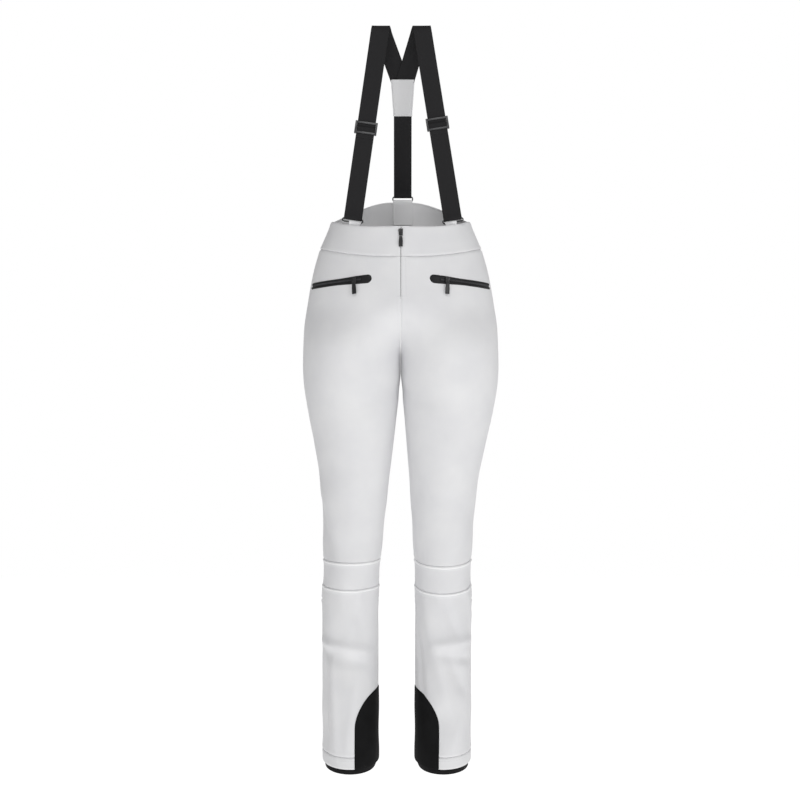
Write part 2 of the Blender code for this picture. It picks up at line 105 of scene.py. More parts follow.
def softShellCloth(name, darker="#e0e0e2", lighter="#e7e7e8"):
    # bonded polyester soft shell: a tight matt knit with a faint soft sheen
    material, tree, shader = startMaterial(name, {
        "Roughness": 0.72, "IOR": 1.46, "Specular IOR Level": 0.35,
        "Sheen Weight": 0.12, "Sheen Roughness": 0.5})
    coords = addNode(tree, "ShaderNodeTexCoord").outputs["Object"]
    mottle(tree, shader, coords, darker, lighter, 70)
    # the real knit is 0.4 mm, drawn at 1.3 mm so that it shows
    knit = addNode(tree, "ShaderNodeTexVoronoi", {"Scale": 1000 / 1.3}, {"Vector": coords})
    first = bumpInto(tree, shader, knit.outputs["Distance"], 0.10, 0.35)
    slub = addNode(tree, "ShaderNodeTexNoise", {"Scale": 1000 / 9, "Detail": 2.0}, {"Vector": coords})
    bumpInto(tree, shader, slub.outputs["Fac"], 0.25, 0.3, first)
    return material


def webbingCloth(name):
    # woven elastic: polyester over rubber, near black, ribs across the band
    material, tree, shader = startMaterial(name, {
        "Roughness": 0.7, "IOR": 1.5, "Specular IOR Level": 0.25,
        "Sheen Weight": 0.06, "Sheen Roughness": 0.4})
    mapped = addNode(tree, "ShaderNodeUVMap", uv_map="band").outputs["UV"]
    split = addNode(tree, "ShaderNodeSeparateXYZ", links={"Vector": mapped})
    # ribs every 1.2 mm, drawn at 2 mm; the map is in metres
    rib = addNode(tree, "ShaderNodeMath", {1: 2 * math.pi / (2.0 * mm)}, {0: split.outputs["Y"]},
                  operation="MULTIPLY")
    ribs = addNode(tree, "ShaderNodeMath", links={0: rib.outputs[0]}, operation="SINE")
    warp = addNode(tree, "ShaderNodeMath", {1: 2 * math.pi / (1.4 * mm)}, {0: split.outputs["X"]},
                   operation="MULTIPLY")
    warps = addNode(tree, "ShaderNodeMath", links={0: warp.outputs[0]}, operation="SINE")
    weave = addNode(tree, "ShaderNodeMath", links={
        0: ribs.outputs[0], 1: warps.outputs[0], 2: ribs.outputs[0]}, operation="MULTIPLY_ADD")
    level = addNode(tree, "ShaderNodeMapRange", {"From Min": -2.0, "From Max": 2.0},
                    {"Value": weave.outputs[0]})
    ramp = addNode(tree, "ShaderNodeValToRGB", links={"Fac": level.outputs["Result"]})
    ramp.color_ramp.elements[0].color = toLinear("#131314")
    ramp.color_ramp.elements[1].color = toLinear("#252426")
    tree.links.new(ramp.outputs["Color"], shader.inputs["Base Color"])
    bumpInto(tree, shader, level.outputs["Result"], 0.25, 0.7)
    return material


def coatedCloth(name, darker, lighter, roughness, weave=1.1):
    # tightly woven polyamide with a thin coating
    material, tree, shader = startMaterial(name, {
        "Roughness": roughness, "IOR": 1.5, "Specular IOR Level": 0.2})
    coords = addNode(tree, "ShaderNodeTexCoord").outputs["Object"]
    mottle(tree, shader, coords, darker, lighter, 25)
    threads = addNode(tree, "ShaderNodeTexNoise", {"Scale": 1000 / weave, "Detail": 1.0},
                      {"Vector": coords})
    bumpInto(tree, shader, threads.outputs["Fac"], 0.15, 0.5)
    return material


def mouldedPlastic(name, colour, roughness):
    # injection-moulded acetal with a fine spark-eroded grain
    material, tree, shader = startMaterial(name, {
        "Base Color": toLinear(colour), "Roughness": roughness, "IOR": 1.48})
    coords = addNode(tree, "ShaderNodeTexCoord").outputs["Object"]
    grain = addNode(tree, "ShaderNodeTexNoise", {"Scale": 1000 / 0.9, "Detail": 2.0}, {"Vector": coords})
    bumpInto(tree, shader, grain.outputs["Fac"], 0.05, 0.4)
    return material


def enamelledMetal(name, colour, edge):
    # die-cast zinc under black enamel, worn a little lighter on its high spots
    material, tree, shader = startMaterial(name, {
        "Roughness": 0.32, "IOR": 1.5, "Coat Weight": 0.3, "Coat Roughness": 0.2})
    coords = addNode(tree, "ShaderNodeTexCoord").outputs["Object"]
    mottle(tree, shader, coords, colour, edge, 3)
    wear = addNode(tree, "ShaderNodeTexNoise", {"Scale": 1000 / 2.0, "Detail": 4.0}, {"Vector": coords})
    bumpInto(tree, shader, wear.outputs["Fac"], 0.04, 0.5)
    return material


materials = {
    "shell": softShellCloth("bonded soft shell"),
    # painted light: a lighter copy of the shell for the inside of the back band and the rear tab, which lie
    # in shade
    "facing": softShellCloth("waistband facing painted lighter", "#f3f3f4", "#f8f8f9"),
    "lining": softShellCloth("pocketing cloth", "#dbdbdd", "#e2e2e4"),
    "webbing": webbingCloth("woven elastic webbing"),
    "guard": coatedCloth("coated scuff cloth", "#0b0b0c", "#121213", 0.85),
    "gaiter": coatedCloth("plain woven gaiter cloth", "#111112", "#1b1b1c", 0.8, 1.6),
    "welt": coatedCloth("laminated zip welt", "#1a1a1b", "#242425", 0.42, 0.9),
    "coil": mouldedPlastic("polyester zip coil", "#3a3a3d", 0.3),
    "plastic": mouldedPlastic("moulded acetal", "#1c1c1e", 0.38),
    # painted highlight: a lighter grey copy of the black acetal, standing in for the shine on the adjusters'
    # bars
    "adjuster": mouldedPlastic("lighter acetal with painted highlight", "#343436", 0.3),
    "stop": mouldedPlastic("white moulded stop", "#d6d6d8", 0.45),
    "enamel": enamelledMetal("black enamelled zinc", "#161617", "#222224"),
    # painted highlight: a lighter copy of the shell cloth for the ridges of the rolled knee and shin seams
    "piping": softShellCloth("bias piping", "#f2f2f3", "#f8f8f8"),
    "thread": softShellCloth("polyester sewing thread", "#cdcdd0", "#d6d6d8"),
}
steel, steelTree, steelShader = startMaterial("pressed stainless steel", {
    "Base Color": toLinear("#b9bbbd"), "Metallic": 1.0, "Roughness": 0.28})
steelGrain = addNode(steelTree, "ShaderNodeTexNoise", {"Scale": 1000 / 1.5, "Detail": 3.0},
                     {"Vector": addNode(steelTree, "ShaderNodeTexCoord").outputs["Object"]})
bumpInto(steelTree, steelShader, steelGrain.outputs["Fac"], 0.03, 0.5)
materials["steel"] = steel
print("materials made:", len(materials))


# ---- the shape of the garment

cut = {
    # height, outer half width, inner edge of the leg, depth in front, depth behind, in mm
    "form": [
        (70, 112, 0, 83, 86), (16, 131, 0, 88.5, 95), (-9, 140, 0, 92, 98),
        (-50, 157, 0, 97.2, 106), (-97, 170, 0, 103.2, 116), (-150, 179.5, 0, 110, 128),
        (-205, 187, 0, 113, 132), (-272, 189, 0, 105, 123), (-300, 187.8, 1.6, 101, 115),
        (-353, 180, 6.5, 91, 101), (-420, 166, 13, 83.5, 91), (-500, 151.5, 21, 74, 80),
        (-586, 145.3, 28, 66.5, 71), (-684, 142.6, 34.5, 63, 66), (-800, 143.5, 36, 62, 69),
        (-935, 143.5, 36, 70, 76), (-1062, 143.5, 35.5, 79, 84)],
    "crotch": -292, "riseFront": -152, "riseBack": -118,    # mm
    "fullness": 0.42, "sway": -7.7,      # the lower legs hang a little to the wearer's right
    "seamGap": 0.25,                    # mm from the centre line to a panel's edge
    "flyGap": 0.4, "flyEnd": -150,
}

formTable = np.array(cut["form"][::-1], float)


def formCurve(z, column):
    # one column of the form as a smooth curve, z and the result in metres
    zs = formTable[:, 0]
    vs = formTable[:, column]
    rise = np.diff(vs) / np.diff(zs)
    slope = np.zeros(len(zs))
    both = rise[:-1] * rise[1:] > 0
    total = np.where(both, rise[:-1] + rise[1:], 1.0)
    slope[1:-1] = np.where(both, 2 * rise[:-1] * rise[1:] / total, 0)
    zMm = np.clip(np.asarray(z, float) / mm, zs[0], zs[-1])
    k = np.clip(np.searchsorted(zs, zMm, side="right") - 1, 0, len(zs) - 2)
    span = zs[k + 1] - zs[k]
    u = (zMm - zs[k]) / span
    value = ((2 * u**3 - 3 * u**2 + 1) * vs[k] + (u**3 - 2 * u**2 + u) * span * slope[k]
             + (3 * u**2 - 2 * u**3) * vs[k + 1] + (u**3 - u**2) * span * slope[k + 1])
    return value * mm


def ease(value, low, high):
    u = np.clip((np.asarray(value, float) - low) / (high - low), 0, 1)
    return u * u * (3 - 2 * u)


folds = {
    # start (round, height), end, half width, height; round runs 0 inseam, 0.25 front, 0.5 side, 0.75 back
    "left": [
        ((0.13, -712), (0.27, -905), 12, 6.1), ((0.24, -715), (0.33, -790), 10, -4.4),
        ((0.20, -806), (0.45, -800), 8, 5.4), ((0.22, -826), (0.44, -836), 8, -5.1),
        ((0.30, -840), (0.38, -900), 10, -4.4), ((0.06, -780), (0.12, -900), 8, -4.4),
        ((0.40, -700), (0.47, -770), 10, 3.7), ((0.42, -860), (0.30, -1000), 12, 4.4),
        ((0.24, -930), (0.20, -1010), 14, -3.4), ((0.52, -700), (0.60, -790), 15, 4.1),
        ((0.44, -530), (0.34, -630), 14, -3.4), ((0.40, -560), (0.28, -640), 12, 2.7)],
    "right": [
        ((0.47, -800), (0.34, -812), 8, 5.1), ((0.36, -806), (0.10, -822), 8, 5.4),
        ((0.44, -822), (0.14, -842), 10, -5.4), ((0.42, -700), (0.36, -790), 14, 3.4),
        ((0.44, -830), (0.40, -1000), 8, -6.1), ((0.36, -840), (0.33, -1000), 8, 5.4),
        ((0.20, -860), (0.26, -1000), 12, 3.7), ((0.26, -700), (0.20, -760), 10, -4.1),
        ((0.14, -690), (0.20, -800), 12, -3.1), ((0.47, -490), (0.33, -600), 15, 4.1),
        ((0.49, -520), (0.38, -640), 12, -4.1), ((0.52, -700), (0.60, -800), 15, 4.1)],
    "both": [
        ((0.62, -642), (0.88, -652), 9, -3.0), ((0.60, -664), (0.90, -672), 9, 2.8),
        ((0.62, -690), (0.88, -694), 8, -3.0), ((0.64, -716), (0.86, -712), 10, 2.4),
        ((0.66, -780), (0.88, -800), 16, -2.4), ((0.60, -880), (0.84, -850), 16, 2.2),
        ((0.70, -940), (0.90, -900), 14, -2.0), ((0.02, -318), (0.20, -345), 12, -2.2),
        ((0.03, -338), (0.22, -385), 15, 2.2), ((0.97, -318), (0.78, -352), 14, -3.4),
        ((0.96, -345), (0.74, -395), 17, 2.8), ((0.60, -420), (0.80, -455), 22, -2.0)],
}


def foldHeight(side, z, turn, girth):
    # how far the cloth stands out, or in, at a spot of one leg, in metres
    total = np.zeros(np.broadcast(z, turn).shape)
    for start, end, width, height in folds[side] + folds["both"]:
        ax = (turn - start[0] + 0.5) % 1.0 - 0.5
        bx = end[0] - start[0]
        px, pz = ax * girth, z - start[1] * mm
        dx, dz = bx * girth, (end[1] - start[1]) * mm
        length = np.sqrt(dx**2 + dz**2)
        along = (px * dx + pz * dz) / length**2
        away = (px * dz - pz * dx) / length
        taper = ease(along, -0.25, 0.3) * ease(-along, -1.25, -0.7)
        bend = 1 + 0.35 * np.sin(along * 3.1)
        total += height * mm * taper * np.exp(-(away / (width * mm * bend))**2)
    slow = (np.sin(turn * 12.57 + z * 31) * np.sin(z * 47 + 1.3) * 0.6
            + np.sin(turn * 25.13 - z * 63 + 0.7) * 0.35)
    return total + slow * mm * ease(-z, 0.30, 0.62)


def garment(side, face, z, t, inset=0.0):
    # points on the cloth; t runs from the inner seam (0) to the side seam (1)
    z, t, inset = np.broadcast_arrays(np.asarray(z, float), np.asarray(t, float), inset)
    outer = formCurve(z, 1)
    inner = formCurve(z, 2)
    depth = formCurve(z, 3 if face == "front" else 4)
    rise = cut["riseFront"] if face == "front" else cut["riseBack"]
    leg = ease(-z, -rise * mm, -cut["crotch"] * mm)
    turn = t / 2 if face == "front" else 1 - t / 2
    girth = math.pi * np.sqrt(2 * (((outer - inner) / 2)**2 + depth**2))
    lift = foldHeight(side, z, turn, girth) * ease(-z, 0.26, 0.33) - inset
    depth = depth * (1 + cut["fullness"] * leg * (1 - leg)) + lift
    halfWidth = (outer - inner) / 2 + lift
    hipX = (outer + lift) * np.sin(t * math.pi / 2)
    hipY = depth * np.cos(t * math.pi / 2)
    ringX = (outer + inner) / 2 - halfWidth * np.cos(t * math.pi)
    ringY = depth * np.sin(t * math.pi)
    x = hipX * (1 - leg) + ringX * leg
    y = hipY * (1 - leg) + ringY * leg
    slot = cut["seamGap"] + (cut["flyGap"] - cut["seamGap"]) * (z > cut["flyEnd"] * mm) * (face == "front")
    x = np.maximum(x, slot * mm)
    y = np.maximum(y, 0.12 * mm)
    lean = cut["sway"] * mm * ease(-z, 0.30, 0.76)
    return np.stack([x * sides[side] + lean, -y if face == "front" else y, z], axis=-1)


def edgedSteps(length, spacing, edge=(0.4, 0.9, 1.6, 2.4, 3.3, 4.9)):
    # positions 0 to 1 along a length in mm, close together at both ends
    inner = [e / length for e in edge]
    count = max(int(round((length - 2 * edge[-1]) / spacing)), 1)
    middle = list(np.linspace(inner[-1], 1 - inner[-1], count + 1))
    return np.array([0.0] + inner[:-1] + middle + [1 - e for e in inner[:-1]][::-1] + [1.0])


def linkMesh(name, points, faces, material, smooth=True):
    mesh = bpy.data.meshes.new(name)
    mesh.from_pydata([tuple(p) for p in points], [], [tuple(f) for f in faces])
    shape = bmesh.new()
    shape.from_mesh(mesh)
    bmesh.ops.recalc_face_normals(shape, faces=shape.faces)
    if shape.calc_volume(signed=True) < 0:
        bmesh.ops.reverse_faces(shape, faces=shape.faces)
    shape.to_mesh(mesh)
    shape.free()
    if smooth:
        mesh.shade_smooth()
    mesh.materials.append(material)
    piece = bpy.data.objects.new(name, mesh)
    bpy.context.scene.collection.objects.link(piece)
    return piece


def gridFaces(rows, cols, closed=False):
    r, c = np.meshgrid(np.arange(rows - 1), np.arange(cols if closed else cols - 1), indexing="ij")
    d = (c + 1) % cols
    return np.stack([r * cols + c, r * cols + d, (r + 1) * cols + d, (r + 1) * cols + c], -1).reshape(-1, 4)


def clothSolid(name, outer, inner, material, closed=False):
    # two matching grids of points become one sheet with real thickness
    rows, cols = outer.shape[:2]
    count = rows * cols
    faces = gridFaces(rows, cols, closed)
    allFaces = [faces, faces[:, ::-1] + count]
    across = np.arange(cols if closed else cols - 1)
    nextOne = (across + 1) % cols
    for row in (0, rows - 1):
        a, b = row * cols + across, row * cols + nextOne
        rim = np.stack([a, a + count, b + count, b], -1)
        allFaces.append(rim if row == 0 else rim[:, ::-1])
    if not closed:
        down = np.arange(rows - 1)
        for col in (0, cols - 1):
            a, b = down * cols + col, (down + 1) * cols + col
            rim = np.stack([a, b, b + count, a + count], -1)
            allFaces.append(rim if col == 0 else rim[:, ::-1])
    points = np.concatenate([outer.reshape(-1, 3), inner.reshape(-1, 3)])
    return linkMesh(name, points, np.concatenate(allFaces), material)


def settle(piece, body, node=None):
    # what a piece stands for, and the body or the knee that it moves with
    if node:
        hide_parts(node)
    if body.endswith("_knee"):
        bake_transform(piece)
    else:
        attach(piece, body)


seams = {"puckerStep": 7.5, "pucker": 0.35, "grooveDepth": 1.0, "grooveWidth": 1.9}      # mm


def clothSheet(name, place, flat, body, slot="shell_fabric", material="shell", thick=1.5, spacing=5.0,
               grooves=(1, 1, 1, 1), closed=False, pucker=1.0, ridge=0.0, fade=0.0, piping=0.0):
    # flat is the length and width in mm of the cloth laid flat
    # place(v, u, depth) gives points; v runs down the length, u across, depth is metres into the cloth
    # grooves: how far the top, bottom, first and last edges dip, 1 is a full seam
    rowMm, colMm = flat
    v = edgedSteps(rowMm, spacing)[:, None]
    if closed:
        u = np.linspace(0, 1, int(colMm / spacing), endpoint=False)[None, :]
    else:
        u = edgedSteps(colMm, spacing)[None, :]
    far = np.full(np.broadcast(v, u).shape, 99.0)
    distances = [v * rowMm + 0 * u, (1 - v) * rowMm + 0 * u]
    distances += [far, far] if closed else [u * colMm + 0 * v, (1 - u) * colMm + 0 * v]
    if fade:
        # the cross seams stop short of the first edge, where a facing covers them
        keep = ease(distances[2], fade - 3, fade + 1)
        near = 99 * (1 - keep)
        distances[0], distances[1] = distances[0] + near, distances[1] + near
    dip = sum(g * np.exp(-(d / seams["grooveWidth"])**2) for g, d in zip(grooves, distances))
    swell = sum(g * np.exp(-((d - 4.5) / 2.6)**2) for g, d in zip(grooves, distances))
    wave = np.cos(2 * math.pi * u * colMm / seams["puckerStep"] + 1.2 * np.sin(u * colMm / 19))
    crimp = sum(g * np.exp(-((d - 3.5) / 4)**2) for g, d in zip(grooves[:2], distances[:2])) * wave
    roll = piping * np.exp(-((distances[0] - 2.9) / 1.9)**2)
    depth = (seams["grooveDepth"] * dip - roll - ridge * swell - pucker * seams["pucker"] * crimp) * mm
    nearest = np.minimum.reduce(distances)
    rim = np.exp(-(nearest / 0.7)**2) * 0.35 * thick * mm
    outer = place(v, u, depth + rim)
    inner = place(v, u, depth + thick * mm - rim)
    piece = clothSolid(name, outer, inner, materials[material], closed)
    if piping:
        # the rolled edge is painted lighter: a painted highlight along the ridge of the seam, in a lighter
        # copy of the cloth
        piece.data.materials.append(materials["piping"])
        rows = (v[:, 0] * rowMm < 4.9)[:-1] & (v[:, 0] * rowMm > 0.9)[:-1]
        where = np.zeros(len(piece.data.polygons), int)
        across = u.shape[1] - 1
        where[:len(rows) * across] = np.repeat(rows, across)
        piece.data.polygons.foreach_set("material_index", where)
    surface = place(v, u, 0 * depth)
    if closed:
        surface = np.concatenate([surface, surface[:, :1]], axis=1)
    settle(piece, body, name)
    return piece


def legSheet(name, side, face, top, bottom, flat, body, inset=0.0, span=(0.0, 1.0), **more):
    # one panel of a leg between two seams; top and bottom are heights in mm at t
    def place(v, u, depth):
        t = span[0] + (span[1] - span[0]) * u
        z = (top(t) * (1 - v) + bottom(t) * v) * mm
        return garment(side, face, z, t, inset * mm + depth)
    clothSheet(name, place, flat, body, **more)


# ---- seams, heights in mm along t from the inner or centre seam to the side seam

def waistTop(face, t):
    return -9 + 16 * ease(t, 0.2, 1) if face == "front" else 54 - 47 * ease(t, 0.1, 1)


def waistSeam(face, t):
    return -67 + 20 * ease(t, 0.1, 1) if face == "front" else -14 - 33 * ease(t, 0.1, 1)


# how far the knee seams sag in the middle, upper and lower; side is the leg being made
kneeDip = {"left": (12, 15), "right": (5, 8)}


def kneeUpper(t):
    return -644 - kneeDip[side][0] * np.sin(math.pi * t)


def kneeLower(t):
    return -693 - kneeDip[side][1] * np.sin(math.pi * t)


def kneeBackTop(t):
    return -644 + 14 * np.sin(math.pi * t)


def kneeBackBottom(t):
    return -722 - 13 * np.sin(math.pi * t)


def hemSeam(t):
    return -1010 - 8 * np.sin(math.pi * t)


def hemEdge(t):
    return -1032 - 8 * np.sin(math.pi * t)


# ---- legs

legs = {
    "thick": 1.5, "seamRidge": 0.5, "piping": 1.7, "hemThick": 2.4, "gaiterThick": 1.2, "fade": 14,
    "guardTop": -890, "guardDrop": 75, "guardSpan": 4 / 9, "guardThick": 1.0, "gaiterTop": -925,
    # length and width of each panel laid flat, in mm
    "frontPanel": (585, 262), "backPanel": (610, 290), "kneePanel": (49, 185), "kneeBack": (96, 190),
    "shinPanel": (317, 190), "calfPanel": (287, 200), "hemBand": (22, 400), "gaiter": (120, 390),
    "edgeGuard": (143, 178),
}

for side in sides:
    shin = side + "_shin"
    bent = side + "_knee"
    shell = {"thick": legs["thick"], "ridge": legs["seamRidge"]}
    legSheet("front_panel_" + side, side, "front", lambda t: waistSeam("front", t),
             lambda t: kneeUpper(t) + 0.2, legs["frontPanel"], bent,
             grooves=(1, 0.35, 0.55, 1), fade=legs["fade"], **shell)
    legSheet("back_panel_" + side, side, "back", lambda t: waistSeam("back", t),
             lambda t: kneeBackTop(t) + 0.4, legs["backPanel"], bent, **shell)
    legSheet("knee_panel_" + side, side, "front", kneeUpper, lambda t: kneeLower(t) + 0.2,
             legs["kneePanel"], bent, spacing=3.5, piping=legs["piping"],
             grooves=(0.1, 0.35, 0.6, 1), **shell)
    legSheet("knee_back_" + side, side, "back", kneeBackTop, lambda t: kneeBackBottom(t) + 0.4,
             legs["kneeBack"], bent, spacing=4, **shell)
    legSheet("shin_panel_" + side, side, "front", kneeLower, lambda t: hemSeam(t) + 0.4,
             legs["shinPanel"], bent, spacing=4, piping=legs["piping"],
             grooves=(0.1, 1, 0.6, 1), **shell)
    legSheet("calf_panel_" + side, side, "back", kneeBackBottom, lambda t: hemSeam(t) + 0.4,
             legs["calfPanel"], bent, spacing=4, **shell)

    def around(u):
        # once round the leg from the inseam: front, side seam, back
        turn = u * 2
        return turn <= 1, np.where(turn <= 1, turn, 2 - turn)

    def cuffPlace(top, bottom, inset):
        def place(v, u, depth):
            front, t = around(u)
            z = (top(t) * (1 - v) + bottom(t) * v) * mm
            deep = inset(v) * mm + depth
            return np.where(front[..., None], garment(side, "front", z, t, deep),
                            garment(side, "back", z, t, deep))
        return place

    clothSheet("hem_band_" + side, cuffPlace(hemSeam, hemEdge, lambda v: 0.0), legs["hemBand"], shin,
               thick=legs["hemThick"], closed=True, spacing=3, grooves=(0.8, 0.3, 0, 0),
               pucker=0.8, ridge=0.3)
    # the gaiter hangs 10 mm below the hem and narrows a little on its way down
    sleeve = cuffPlace(lambda t: legs["gaiterTop"] + 0 * t, lambda t: hemEdge(t) - 10,
                       lambda v: 3.0 + 1.4 * v)
    clothSheet("gaiter_" + side, sleeve, legs["gaiter"], shin, "gaiter_fabric", "gaiter",
               thick=legs["gaiterThick"], closed=True, grooves=(0, 0.2, 0, 0), pucker=0.0)

    def guardPlace(v, u, depth):
        # from the front edge, over the inseam, to the rear edge
        reach = (1 - 2 * u) * legs["guardSpan"]
        t = np.abs(reach)
        drop = legs["guardDrop"] * (1 - np.sqrt(np.clip(1 - (t / legs["guardSpan"])**2, 0, 1)))
        z = ((legs["guardTop"] - drop) * (1 - v) + (hemEdge(t) + 0.4) * v) * mm
        deep = depth - (0.35 + legs["guardThick"]) * mm
        front = garment(side, "front", z, t, deep)
        back = garment(side, "back", z, t, deep)
        front[..., 1] = np.where(np.abs(reach) < 1e-6, 0, front[..., 1])
        return np.where((reach > 0)[..., None], front, back)
    clothSheet("edge_guard_" + side, guardPlace, legs["edgeGuard"], shin, "guard_fabric", "guard",
               thick=legs["guardThick"], spacing=3, grooves=(0.5, 0.1, 0.5, 0.5), pucker=0.3)
print("legs made")


# ---- waistband

band = {"thick": 2.2, "front": (56, 222), "back": (60, 452)}       # mm; each flat size is length, width

for side in sides:
    legSheet("waistband_front_" + side, side, "front", lambda t: waistTop("front", t),
             lambda t: waistSeam("front", t) + 0.4, band["front"], "root", thick=band["thick"],
             spacing=4, grooves=(0.5, 1, 0.5, 1), ridge=0.5, fade=legs["fade"])


def backBandPlace(v, u, depth):
    reach = 2 * u - 1
    t = np.abs(reach)
    z = (waistTop("back", t) * (1 - v) + (waistSeam("back", t) + 0.4) * v) * mm
    spot = garment("left", "back", z, t, depth)
    spot[..., 0] = np.where(t < 1e-6, 0, spot[..., 0]) * np.where(reach < 0, -1, 1)
    return spot


backBand = clothSheet("waistband_back", backBandPlace, band["back"], "root", thick=band["thick"],
                      spacing=4, grooves=(0.5, 1, 1, 1), ridge=0.5)
# the inside of the back band gets a lighter copy of the cloth: painted light where the band's inside lies in
# shade
backBand.data.materials.append(materials["facing"])
for patch in backBand.data.polygons:
    patch.material_index = int(patch.normal.x * patch.center.x + patch.normal.y * patch.center.y < 0)
print("waistband made")


# ---- suspenders

def smoothPath(points, step):
    # a curve through the points, with a point about every step mm
    p = np.array(points, float)
    padded = np.concatenate([[2 * p[0] - p[1]], p, [2 * p[-1] - p[-2]]])
    out = []
    for k in range(len(p) - 1):
        a, b, c, d = padded[k:k + 4]
        count = max(int(np.linalg.norm((c - b)[:3]) / (step * mm)), 1)
        for u in np.arange(count) / count:
            out.append(0.5 * (2 * b + (c - a) * u + (2 * a - 5 * b + 4 * c - d) * u**2
                              + (3 * b - a - 3 * c + d) * u**3))
    out.append(p[-1])
    return np.array(out)


def webBand(name, path, across, width, thick, material="webbing"):
    # flat webbing along a path; across holds the width direction at each point
    both = smoothPath(np.concatenate([path, np.array(across)], axis=1), 3.0)
    spots, sideways = both[:, :3], both[:, 3:]
    ahead = np.gradient(spots, axis=0)
    ahead /= np.linalg.norm(ahead, axis=1)[:, None]
    sideways = sideways - ahead * (sideways * ahead).sum(1)[:, None]
    sideways /= np.linalg.norm(sideways, axis=1)[:, None]
    normal = np.cross(ahead, sideways)
    u = np.array([-1, -0.985, -0.95, -0.88, -0.6, -0.3, 0, 0.3, 0.6, 0.88, 0.95, 0.985, 1])
    # selvedges are a little thinner, with a shallow groove beside them
    selvedge = np.where(np.abs(u) > 0.99, 0.35, 1.0) - 0.14 * np.exp(-((np.abs(u) - 0.91) / 0.02)**2)
    half = thick / 2 * mm * selvedge
    middle = spots[:, None, :] + sideways[:, None, :] * (u * width / 2 * mm)[None, :, None]
    lift = normal[:, None, :] * half[None, :, None]
    piece = clothSolid(name, middle + lift, middle - lift, materials[material])
    run = np.concatenate([[0], np.cumsum(np.linalg.norm(np.diff(spots, axis=0), axis=1))])
    place = np.stack(np.broadcast_arrays(u[None, :] * width / 2 * mm, run[:, None]), -1).reshape(-1, 2)
    place = np.concatenate([place, place])
    layer = piece.data.uv_layers.new(name="band")
    corner = np.zeros(len(piece.data.loops), int)
    piece.data.loops.foreach_get("vertex_index", corner)
    layer.data.foreach_set("uv", place[corner].ravel())
    return piece


def wrapRound(bar, first, second, radius, angles):
    # points round a bar; the angle in degrees turns from the first direction to the second
    return [bar + (first * math.cos(math.radians(angle)) + second * math.sin(math.radians(angle))) * radius
            for angle in angles]


def rearY(z):
    # both rear runs and the rear strap lie in one sloping plane; z and the result are in metres
    return 0.021 + 0.062 * (0.370 - z) / 0.305


def rearLine(x, z):
    return Vector((x, rearY(z), z))


# all in mm; foot and head are the ends of the straight front run
suspenders = {
    "width": 35, "thick": 1.5,
    "foot": {"left": (99.02, -55.27, 9.5), "right": (-90.93, -60.84, 9.5)},
    "head": {"left": (42, -8, 378), "right": (-40, -8, 378)},
    "crownX": {"left": 40.5, "right": -38.5}, "crownZ": 388,
    "rearX": 4, "connectorTop": 290, "connectorBottom": 220,
    "ringBar": (4, 83, 65), "adjusterZ": {"left": 193, "right": 184}, "barRadius": 1.25, "bow": 0.5,
    "crownTurn": 22,        # degrees, how far the webbing turns as it goes over the top
    "connector": (72, 92),
}
crown = suspenders["crownZ"] * mm
strapLines = {}

for side, sign in sides.items():
    foot = Vector(suspenders["foot"][side]) * mm
    head = Vector(suspenders["head"][side]) * mm
    up = (head - foot).normalized()
    across = Vector((up.z, 0, -up.x)).normalized()
    inward = up.cross(across)
    inward = inward if inward.y > 0 else -inward
    strapLines[side] = (foot, head, up, across, inward)
    bar = foot - up * 1.9 * mm
    turnRadius = (suspenders["barRadius"] + suspenders["thick"] / 2 + 0.1) * mm
    path = [foot + up * 27 * mm + inward * 2.3 * mm, foot + up * 12 * mm + inward * 2.5 * mm,
            foot + up * 3 * mm + inward * 2.5 * mm]
    path += wrapRound(bar, inward, -up, turnRadius, (20, 60, 90, 120, 160))
    path += [foot + up * 4 * mm - inward * 1.2 * mm, foot + up * 14 * mm]
    turns = [across] * len(path)
    # the front run bows slightly outwards
    for u in (0.15, 0.3, 0.45, 0.6, 0.75, 0.9, 1.0):
        bow = -inward * math.sin(u * math.pi) * suspenders["bow"] * mm
        path.append(foot.lerp(head, u) + bow)
        turns.append(across)
    x = suspenders["crownX"][side] * mm
    flat = Vector((1, 0, 0))
    lean = math.radians(suspenders["crownTurn"])
    fall = rearLine(0, 0) - rearLine(0, 1)
    rearTurn = Vector((math.cos(lean), 0, 0)) - fall * sign * math.sin(lean)
    path += [Vector((x, -4 * mm, crown - 2.6 * mm)), Vector((x, 2 * mm, crown)),
             Vector((x - sign * mm, 12 * mm, crown - mm)),
             Vector((x - sign * 3 * mm, 18 * mm, crown - 7 * mm))]
    turns += [flat.lerp(across, 0.4), flat, flat, flat.lerp(rearTurn, 0.6)]
    behind = Vector((0, 0 if side == "left" else 2.4 * mm, 0))
    top = rearLine(x - sign * 6 * mm, crown - 18 * mm)
    end = rearLine((suspenders["rearX"] + sign * 3) * mm, (suspenders["connectorTop"] - 9) * mm)
    for u in (0, 0.33, 0.66, 1):
        path.append(top.lerp(end, u) + behind)
        turns.append(rearTurn)
    strap = webBand("strap_" + side, path, turns, suspenders["width"], suspenders["thick"])
    settle(strap, "suspenders", "strap_" + side)

ringBar = Vector(suspenders["ringBar"]) * mm
top = rearLine(suspenders["rearX"] * mm, (suspenders["connectorBottom"] + 14) * mm)
bottom = ringBar + Vector((0, 0, 4 * mm))
down = (bottom - top).normalized()
behind = Vector((0, -down.z, down.y))
path = [top.lerp(bottom, u) for u in (0, 0.3, 0.6, 0.9)] + [bottom - down * 3 * mm - behind * 0.8 * mm]
path += wrapRound(ringBar, behind, down, turnRadius, (200, 160, 110, 70, 20, -20))
path.append(ringBar - down * 5 * mm + behind * 2.3 * mm)
rearStrap = webBand("rear_strap", path, [Vector((1, 0, 0))] * len(path),
                    suspenders["width"], suspenders["thick"])
settle(rearStrap, "suspenders", "rear_strap")


